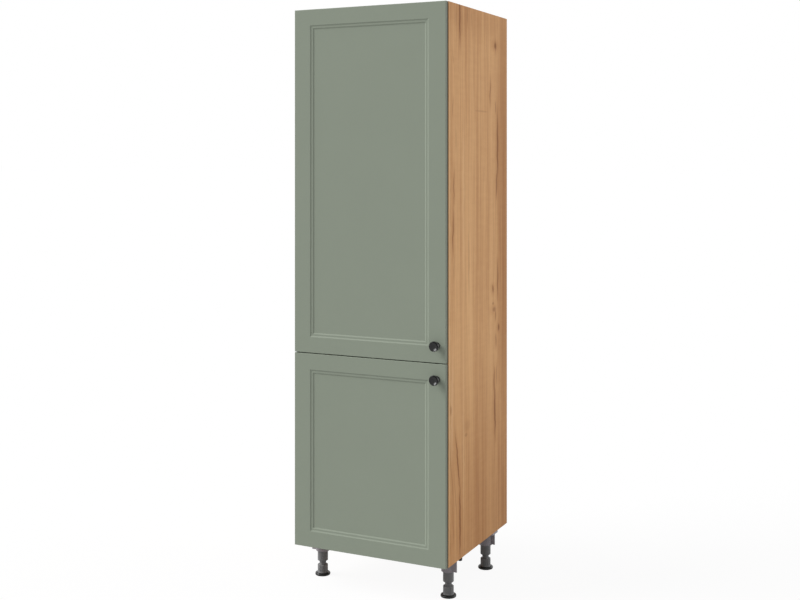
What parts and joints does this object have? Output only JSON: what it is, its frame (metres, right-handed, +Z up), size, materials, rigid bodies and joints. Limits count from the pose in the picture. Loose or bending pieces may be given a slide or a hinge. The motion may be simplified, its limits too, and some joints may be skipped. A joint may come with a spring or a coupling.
{
  "type": "tall kitchen cabinet",
  "caption": "Tall oak-decor kitchen cabinet on adjustable feet, with a short lower and a long upper framed door, round knobs, concealed cup hinges and shelves inside",
  "frame": {"origin": "on the floor under the middle of the bounding box", "axes": "+Z up, the doors face -Y, +X to the right of someone facing the doors"},
  "size_m": [0.6, 0.605, 2.071],
  "materials": {
    "oak_board": "matt oak decor",
    "oak_edge": "matt oak decor",
    "back_board": "smooth white hardboard",
    "white_plastic": "matt",
    "zinc_steel": "zinc plated",
    "nickel_steel": "nickel plated",
    "socket_plastic": "moulded",
    "tube_plastic": "moulded",
    "pad_plastic": "moulded",
    "door_paint": "satin paint on fibreboard",
    "knob_black": "gloss",
    "bumper_clear": "soft clear"
  },
  "bodies": {
    "carcass": {"side_panel_left": "oak_board", "side_panel_right": "oak_board", "bottom_panel": "oak_board", "middle_shelf": "oak_board", "top_panel": "oak_board", "shelf_lower_1": "oak_board", "shelf_upper_1": "oak_board", "shelf_upper_2": "oak_board", "shelf_upper_3": "oak_board", "edge_bands": "oak_edge", "back_sheet_lower": "back_board", "back_sheet_upper": "back_board", "back_joint_strip": "white_plastic", "shelf_pegs": "zinc_steel", "wall_brackets": "zinc_steel", "hinge_plates_upper": "nickel_steel", "hinge_arms_upper": "nickel_steel", "hinge_plates_lower": "nickel_steel", "hinge_arms_lower": "nickel_steel", "foot_socket_front_left": "socket_plastic", "foot_socket_front_right": "socket_plastic", "foot_socket_rear_left": "socket_plastic", "foot_socket_rear_right": "socket_plastic", "foot_tube_front_left": "tube_plastic", "foot_tube_front_right": "tube_plastic", "foot_tube_rear_left": "tube_plastic", "foot_tube_rear_right": "tube_plastic"},
    "door_upper": {"door_upper": "door_paint", "knob_upper": "knob_black", "door_bumpers_upper": "bumper_clear", "hinge_cups_upper": "nickel_steel"},
    "outer_links_upper": {"outer_links_upper": "nickel_steel"},
    "inner_links_upper": {"inner_links_upper": "nickel_steel"},
    "door_lower": {"door_lower": "door_paint", "knob_lower": "knob_black", "door_bumpers_lower": "bumper_clear", "hinge_cups_lower": "nickel_steel"},
    "outer_links_lower": {"outer_links_lower": "nickel_steel"},
    "inner_links_lower": {"inner_links_lower": "nickel_steel"},
    "foot_pad_front_left": {"foot_pad_front_left": "pad_plastic"},
    "foot_screw_front_left": {"foot_screw_front_left": "tube_plastic"},
    "foot_pad_front_right": {"foot_pad_front_right": "pad_plastic"},
    "foot_screw_front_right": {"foot_screw_front_right": "tube_plastic"},
    "foot_pad_rear_left": {"foot_pad_rear_left": "pad_plastic"},
    "foot_screw_rear_left": {"foot_screw_rear_left": "tube_plastic"},
    "foot_pad_rear_right": {"foot_pad_rear_right": "pad_plastic"},
    "foot_screw_rear_right": {"foot_screw_rear_right": "tube_plastic"}
  },
  "joints": [
    {"name": "outer_links_upper_pivot", "type": "hinge", "parent": "carcass", "child": "outer_links_upper", "pos_m": [-0.2636, -0.2497, 1.2], "axis": [0, 0, 1], "range_deg": [0, 21.2]},
    {"name": "door_upper_swing", "type": "hinge", "parent": "outer_links_upper", "child": "door_upper", "pos_m": [-0.2884, -0.2592, 1.2], "axis": [0, 0, -1], "range_deg": [0, 113.16]},
    {"name": "inner_links_upper_pivot", "type": "hinge", "parent": "door_upper", "child": "inner_links_upper", "pos_m": [-0.2889, -0.2644, 1.2], "axis": [0, 0, 1], "range_deg": [0, 97.55]},
    {"name": "outer_links_lower_pivot", "type": "hinge", "parent": "carcass", "child": "outer_links_lower", "pos_m": [-0.2636, -0.2497, 1.2], "axis": [0, 0, 1], "range_deg": [0, 21.2]},
    {"name": "door_lower_swing", "type": "hinge", "parent": "outer_links_lower", "child": "door_lower", "pos_m": [-0.2884, -0.2592, 1.2], "axis": [0, 0, -1], "range_deg": [0, 113.16]},
    {"name": "inner_links_lower_pivot", "type": "hinge", "parent": "door_lower", "child": "inner_links_lower", "pos_m": [-0.2889, -0.2644, 1.2], "axis": [0, 0, 1], "range_deg": [0, 97.55]},
    {"name": "foot_front_left_height", "type": "slide", "parent": "carcass", "child": "foot_pad_front_left", "axis": [0, 0, -1], "range_m": [-0.01201, 0.02001]},
    {"name": "foot_front_left_turn", "type": "hinge", "parent": "foot_pad_front_left", "child": "foot_screw_front_left", "pos_m": [-0.253, -0.1485, 0.01], "axis": [0, 0, -1], "range_deg": [-720, 1200]},
    {"name": "foot_front_right_height", "type": "slide", "parent": "carcass", "child": "foot_pad_front_right", "axis": [0, 0, -1], "range_m": [-0.01201, 0.02001]},
    {"name": "foot_front_right_turn", "type": "hinge", "parent": "foot_pad_front_right", "child": "foot_screw_front_right", "pos_m": [0.253, -0.1485, 0.01], "axis": [0, 0, -1], "range_deg": [-720, 1200]},
    {"name": "foot_rear_left_height", "type": "slide", "parent": "carcass", "child": "foot_pad_rear_left", "axis": [0, 0, -1], "range_m": [-0.01201, 0.02001]},
    {"name": "foot_rear_left_turn", "type": "hinge", "parent": "foot_pad_rear_left", "child": "foot_screw_rear_left", "pos_m": [-0.2625, 0.1765, 0.01], "axis": [0, 0, -1], "range_deg": [-720, 1200]},
    {"name": "foot_rear_right_height", "type": "slide", "parent": "carcass", "child": "foot_pad_rear_right", "axis": [0, 0, -1], "range_m": [-0.01201, 0.02001]},
    {"name": "foot_rear_right_turn", "type": "hinge", "parent": "foot_pad_rear_right", "child": "foot_screw_rear_right", "pos_m": [0.2625, 0.1765, 0.01], "axis": [0, 0, -1], "range_deg": [-720, 1200]}
  ],
  "couplings": [
    {"joint": "outer_links_upper_pivot", "follows": "door_upper_swing", "ratio": 0.18699},
    {"joint": "inner_links_upper_pivot", "follows": "door_upper_swing", "ratio": 0.86179},
    {"joint": "outer_links_lower_pivot", "follows": "door_lower_swing", "ratio": 0.18699},
    {"joint": "inner_links_lower_pivot", "follows": "door_lower_swing", "ratio": 0.86179},
    {"joint": "foot_front_left_height", "follows": "foot_front_left_turn", "m_per_rad": 0.00095493},
    {"joint": "foot_front_right_height", "follows": "foot_front_right_turn", "m_per_rad": 0.00095493},
    {"joint": "foot_rear_left_height", "follows": "foot_rear_left_turn", "m_per_rad": 0.00095493},
    {"joint": "foot_rear_right_height", "follows": "foot_rear_right_turn", "m_per_rad": 0.00095493}
  ]
}
